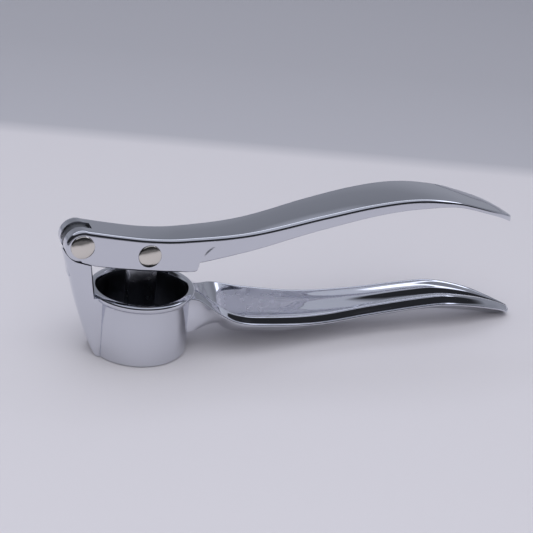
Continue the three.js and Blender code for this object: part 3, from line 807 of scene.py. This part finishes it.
@dataclass
class Plunger:
    """Crowned disc, collar and a flat stem that ends in an eye."""

    disc_r: float = 13.5
    offset: float = -0.55  # x of the disc's middle
    bottom: float = 3.3
    thickness: float = 5.0
    stem_half: float = 4.8
    eye_r: float = 3.9
    shoulder_drop: float = 6.5  # how far below the pivot the stem starts to narrow
    shoulder_pull: float = 3  # how tall the shoulder's curve stands before it turns in

    def disc(self) -> bmesh.types.BMesh:
        """The disc and its collar."""
        low, top, r = self.bottom, self.bottom + self.thickness, self.disc_r
        profile = [
            (0, low), (r - 0.9, low), (r - 0.45, low + 0.12), (r - 0.12, low + 0.5), (r, low + 1),
            (r, top - 1.3), (r - 0.12, top - 0.75), (r - 0.5, top - 0.25), (r - 1.1, top),
            (6.0, top), (5.4, top + 0.2), (4.4, top + 0.9), (3.4, top + 1.4), (0, top + 1.6),
        ]
        bm = Workshop.lathe(profile, 128)
        bmesh.ops.translate(bm, verts=list(bm.verts), vec=(self.offset * MM, 0, 0))
        return bm

    def stem(self) -> bmesh.types.BMesh:
        """The flat stem, which narrows to its eye."""
        m, h, drop = self.offset, self.stem_half, self.shoulder_drop
        shoulder = PIVOT[1] - drop
        start, end = (m + h, shoulder), (self.eye_r, PIVOT[1])
        pull = (m + h, shoulder + self.shoulder_pull)
        right = [(m + h, self.bottom + 1), start]
        steps = 9
        for i in range(1, steps):
            t = i / steps
            right.append(tuple(
                (1 - t) ** 2 * a + 2 * t * (1 - t) * b + t * t * c
                for a, b, c in zip(start, pull, end)
            ))
        turns = [math.radians(a) for a in range(0, 181, 9)]
        eye = [(self.eye_r * math.cos(a), PIVOT[1] + self.eye_r * math.sin(a)) for a in turns]
        left = [
            (2 * m - x if z <= shoulder else -x + (m * 2) * (1 - (z - shoulder) / drop), z)
            for x, z in reversed(right)
        ]
        bm = Workshop.slab(right + eye + left, FLAT_HALF)
        Workshop.soften(bm, FLAT_EDGE, angle=60)
        return bm

    def build(self, metal: bpy.types.Material) -> None:
        """Makes the plunger and dresses it."""
        body = Workshop.solid("plunger_casting", self.disc())
        Workshop.combine(body, [self.stem()], "UNION")
        Workshop.combine(body, [Workshop.bar(*PIVOT, BORE, ACROSS)], "DIFFERENCE")
        Workshop.finish(body, metal, Body.PLUNGER, Slot.PLUNGER, ["plunger"])


@dataclass
class Strainer:
    """The perforated plate on the cup's floor."""

    radius: float = 14.5
    bottom: float = 1.8
    thickness: float = 1.2
    hole_r: float = 0.95
    pitch: float = 3.3
    field_r: float = 11.85  # radius that holds the holes' centres
    punch: float = 4.0  # length of a hole's punch

    def holes(self) -> bmesh.types.BMesh:
        """Punches for the staggered rows of holes, in one bmesh."""
        punches = bmesh.new()
        row_height = self.pitch * math.sin(math.pi / 3)
        rows = int(self.field_r // row_height)
        for row in range(-rows, rows + 1):
            for column in range(-rows - 1, rows + 2):
                x = column * self.pitch + (0 if row % 2 == 0 else self.pitch / 2)
                y = row * row_height
                if math.hypot(x, y) < self.field_r:
                    place = Matrix.Translation(point(x, y, self.bottom + self.thickness / 2))
                    bmesh.ops.create_cone(
                        punches, cap_ends=True, segments=20, radius1=self.hole_r * MM,
                        radius2=self.hole_r * MM, depth=self.punch * MM, matrix=place,
                    )
        return punches

    def build(self, metal: bpy.types.Material) -> None:
        """Makes the plate and dresses it."""
        low, top, r = self.bottom, self.bottom + self.thickness, self.radius
        profile = [
            (0, low), (r - 0.15, low), (r, low + 0.15), (r, top - 0.3), (r - 0.3, top), (0, top),
        ]
        body = Workshop.solid("strainer_disc", Workshop.lathe(profile, 96))
        Workshop.combine(body, [self.holes()], "DIFFERENCE")
        Workshop.finish(body, metal, Body.LOWER, Slot.STRAINER, ["strainer_plate"])


@dataclass
class Rivet:
    """A compression rivet of two halves: a solid pin half in front, a hollow half behind."""

    name: str
    place: Pair
    head_r: float = 3.8
    dome: float = 0.95
    shank_r: float = 2.0
    pin_r: float = 1.15
    seat: float = 6.55  # distance of a head's underside from the press's middle
    rim: float = 0.38  # height of a head's edge
    inset: float = 0.14  # how far the dome starts inside the head
    tip_gap: float = 2.2  # from the pin's tip to the far head
    mouth_gap: float = 0.25  # from the sleeve's mouth to the far head
    socket_gap: float = 1.4  # from the socket's end to the sleeve's own head
    play: float = 0.07  # between the pin and the socket

    def head(self, inner: float) -> list[Pair]:
        """The head's profile, from its underside to its crown."""
        s, r, d = self.seat, self.head_r, self.dome
        dome_r, low = r - self.inset, self.rim
        rim = [(inner, s), (r - 0.12, s), (r, s + 0.12), (r - 0.03, s + 0.26), (dome_r, s + low)]
        arc = [dome_r * math.cos(math.radians(a)) for a in range(10, 90, 8)]
        dome = [(x, s + low + (d - low) * (1 - (x / dome_r) ** 2) ** 0.8) for x in arc]
        return [*rim, *dome, (0, s + d)]

    def build(self, metal: bpy.types.Material) -> None:
        """Makes both halves and dresses them."""
        tip = self.tip_gap - self.seat
        point_end = [(0, tip), (self.pin_r - 0.3, tip), (self.pin_r, tip + 0.4)]
        pin = Workshop.lathe([*point_end, *self.head(self.pin_r)], ROUND_STEPS)
        Workshop.lay_across(pin, *self.place, math.pi / 2)
        mouth, end = self.mouth_gap - self.seat, self.seat - self.socket_gap
        socket = self.pin_r + self.play
        tube = [(0, end), (socket, end), (socket, mouth), (self.shank_r, mouth)]
        sleeve = Workshop.lathe([*tube, *self.head(self.shank_r)], ROUND_STEPS)
        Workshop.lay_across(sleeve, *self.place, -math.pi / 2)
        for half, bm in (("pin", pin), ("sleeve", sleeve)):
            body = Workshop.solid(f"{self.name}_{half}_half", bm)
            Workshop.finish(body, metal, Body.UPPER, Slot.RIVET, [f"{self.name}_{half}"])


@dataclass
class Studio:
    """Table, light and camera.

    Places are millimetres about the cup's axis, but metres in the frame for the lamps.
    Angles are degrees. A ramp's stops are (place, brightness) pairs.
    """

    eye: tuple[float, float, float] = (-99.8, -316.1, 180.8)
    heading: float = 24.5  # turned from +Y towards +X
    pitch: float = 24.0  # downwards
    roll: float = 6.78
    lens: float = 74.3  # focal length in mm, on a sensor 36 mm wide
    table_colour: tuple[float, float, float] = (0.585, 0.57, 0.61)
    far_colour: tuple[float, float, float] = (0.40, 0.40, 0.445)
    desk_colour: tuple[float, float, float] = (0.12, 0.12, 0.13)
    table_turn: float = 19.0  # turn of the edge where the table darkens
    table_half: float = 0.5  # metres either side of the origin that the table's ramp covers
    faint: float = 0.92  # brightness of the far end, as a share of far_colour
    sky_seam: Pair = (-0.15, 0.25)  # where the front sky passes into the back one
    front_sky: tuple[Pair, ...] = (
        (0.0, 0.06), (0.05, 0.025), (0.5, 0.025), (0.58, 0.5), (1.0, 0.55),
    )
    back_sky: tuple[Pair, ...] = (
        (0.0, 0.34), (0.1, 0.34), (0.19, 0.31), (0.27, 0.27), (0.41, 0.25), (0.47, 0.5),
        (0.49, 1.9), (0.54, 1.9), (0.58, 0.6), (1.0, 0.55),
    )
    lamps: tuple[tuple[str, tuple[float, float, float], float, float], ...] = (
        ("key", (0.15, 0.35, 1.0), 2.0, 3.4),
        ("fill", (-0.3, -0.7, 1.0), 2.4, 21.5),
    )

    def camera(self) -> None:
        """Sets up the camera."""
        a, e, turn = (math.radians(v) for v in (self.heading, self.pitch, self.roll))
        ahead = Vector((math.sin(a) * math.cos(e), math.cos(a) * math.cos(e), -math.sin(e)))
        right = Vector((math.cos(a), -math.sin(a), 0))
        up = Vector((math.sin(a) * math.sin(e), math.cos(a) * math.sin(e), math.cos(e)))
        right, up = (
            right * math.cos(turn) + up * math.sin(turn),
            up * math.cos(turn) - right * math.sin(turn),
        )
        data = bpy.data.cameras.new("camera")
        data.lens, data.sensor_width = self.lens, 36.0
        data.clip_start, data.clip_end = 0.01, 50.0
        camera = bpy.data.objects.new("camera", data)
        camera.matrix_world = Matrix.Translation(point(*self.eye)) @ Matrix(
            (right, up, -ahead)
        ).transposed().to_4x4()
        bpy.context.scene.collection.objects.link(camera)
        bpy.context.scene.camera = camera

    def table(self) -> None:
        """Lays the pale table top, which darkens behind the press."""
        bm = bmesh.new()
        bmesh.ops.create_grid(bm, x_segments=1, y_segments=1, size=3.0)
        bmesh.ops.recalc_face_normals(bm, faces=list(bm.faces))
        top = Workshop.solid("table_top", bm)
        for polygon in top.data.polygons:
            if polygon.normal.z < 0:
                top.data.flip_normals()
        material = bpy.data.materials.new("table_paper")
        material.use_nodes = True
        nodes, links = material.node_tree.nodes, material.node_tree.links
        shader = nodes["Principled BSDF"]
        shader.inputs["Roughness"].default_value = 0.55
        shader.inputs["Specular IOR Level"].default_value = 0.25
        place = nodes.new("ShaderNodeTexCoord")
        turn = nodes.new("ShaderNodeMapping")
        turn.inputs["Rotation"].default_value = (0, 0, math.radians(self.table_turn))
        links.new(place.outputs["Object"], turn.inputs["Vector"])
        split = nodes.new("ShaderNodeSeparateXYZ")
        links.new(turn.outputs["Vector"], split.inputs["Vector"])
        ramp = nodes.new("ShaderNodeValToRGB")
        far = nodes.new("ShaderNodeMapRange")
        far.inputs["From Min"].default_value = -self.table_half
        far.inputs["From Max"].default_value = self.table_half
        links.new(split.outputs["Y"], far.inputs["Value"])
        links.new(far.outputs["Result"], ramp.inputs["Fac"])
        pale, dim, desk = self.table_colour, self.far_colour, self.desk_colour
        faint = tuple(self.faint * v for v in dim)
        marks = ((0.29, desk), (0.345, pale), (0.695, pale), (0.715, dim), (0.9, faint))
        stops = ramp.color_ramp.elements
        while len(stops) < len(marks):
            stops.new(0.5)
        for stop, (position, colour) in zip(stops, marks):
            stop.position, stop.color = position, (*colour, 1)
        links.new(ramp.outputs["Color"], shader.inputs["Base Color"])
        top.data.materials.append(material)

    def sky(self) -> None:
        """Surrounds the press with a soft studio: grey, dark in front, a bright band behind."""
        world = bpy.data.worlds.new("studio")
        bpy.context.scene.world = world
        world.use_nodes = True
        nodes, links = world.node_tree.nodes, world.node_tree.links
        background = nodes["Background"]
        place = nodes.new("ShaderNodeTexCoord")
        split = nodes.new("ShaderNodeSeparateXYZ")
        links.new(place.outputs["Generated"], split.inputs["Vector"])
        rise = nodes.new("ShaderNodeMath")
        rise.operation = "ARCSINE"
        links.new(split.outputs["Z"], rise.inputs[0])
        share = nodes.new("ShaderNodeMath")
        share.operation, share.inputs[1].default_value = "DIVIDE", math.pi / 2
        links.new(rise.outputs[0], share.inputs[0])
        behind = nodes.new("ShaderNodeVectorMath")
        behind.operation = "DOT_PRODUCT"
        a = math.radians(self.heading)
        behind.inputs[1].default_value = (math.sin(a), math.cos(a), 0)
        links.new(place.outputs["Generated"], behind.inputs[0])
        mix_by = nodes.new("ShaderNodeMapRange")
        mix_by.interpolation_type = "SMOOTHSTEP"
        mix_by.inputs["From Min"].default_value = self.sky_seam[0]
        mix_by.inputs["From Max"].default_value = self.sky_seam[1]
        links.new(behind.outputs["Value"], mix_by.inputs["Value"])
        front = self.ramp(nodes, self.front_sky)
        back = self.ramp(nodes, self.back_sky)
        links.new(share.outputs[0], front.inputs["Fac"])
        links.new(share.outputs[0], back.inputs["Fac"])
        both = nodes.new("ShaderNodeMix")
        both.data_type = "RGBA"
        links.new(mix_by.outputs["Result"], both.inputs["Factor"])
        links.new(front.outputs["Color"], both.inputs["A"])
        links.new(back.outputs["Color"], both.inputs["B"])
        links.new(both.outputs["Result"], background.inputs["Color"])
        background.inputs["Strength"].default_value = 1.0

    @staticmethod
    def ramp(nodes: bpy.types.Nodes, stops: Sequence[Pair]) -> bpy.types.Node:
        """A grey ramp from (place, brightness) stops, very slightly blue."""
        made = nodes.new("ShaderNodeValToRGB")
        elements = made.color_ramp.elements
        while len(elements) < len(stops):
            elements.new(0.5)
        for element, (place, value) in zip(elements, stops):
            element.position = place
            element.color = (0.95 * value, 0.985 * value, 1.12 * value, 1)
        return made

    @staticmethod
    def lamp(name: str, place: tuple[float, float, float], size: float, power: float) -> None:
        """Adds a soft square light that aims at the press and isn't mirrored in it."""
        data = bpy.data.lights.new(name, "AREA")
        data.shape, data.size, data.energy = "SQUARE", size, power
        lamp = bpy.data.objects.new(name, data)
        lamp.location = Vector(place)
        lamp.rotation_euler = (-Vector(place)).to_track_quat("-Z", "Y").to_euler()
        lamp.visible_glossy = False
        bpy.context.scene.collection.objects.link(lamp)

    def build(self) -> None:
        """Sets up the whole studio."""
        bpy.context.scene.view_settings.view_transform = "Standard"
        self.camera()
        self.table()
        self.sky()
        for lamp in self.lamps:
            self.lamp(*lamp)


def main() -> None:
    """Builds every sub-assembly in order, then the studio."""
    logging.basicConfig(level=logging.INFO, format="%(message)s")
    chrome = CHROME.make()
    LowerCasting().build(chrome)
    Lever().build(chrome)
    # The plunger's darker chrome colour is painted shade.
    Plunger().build(SHADED_PLUNGER_CHROME.make())
    Strainer().build(SATIN_STEEL.make())
    nickel = NICKEL.make()
    for name, place in (("hinge_rivet", HINGE), ("plunger_rivet", PIVOT)):
        Rivet(name, place).build(nickel)
    Studio().build()


if __name__ == "__main__":
    main()
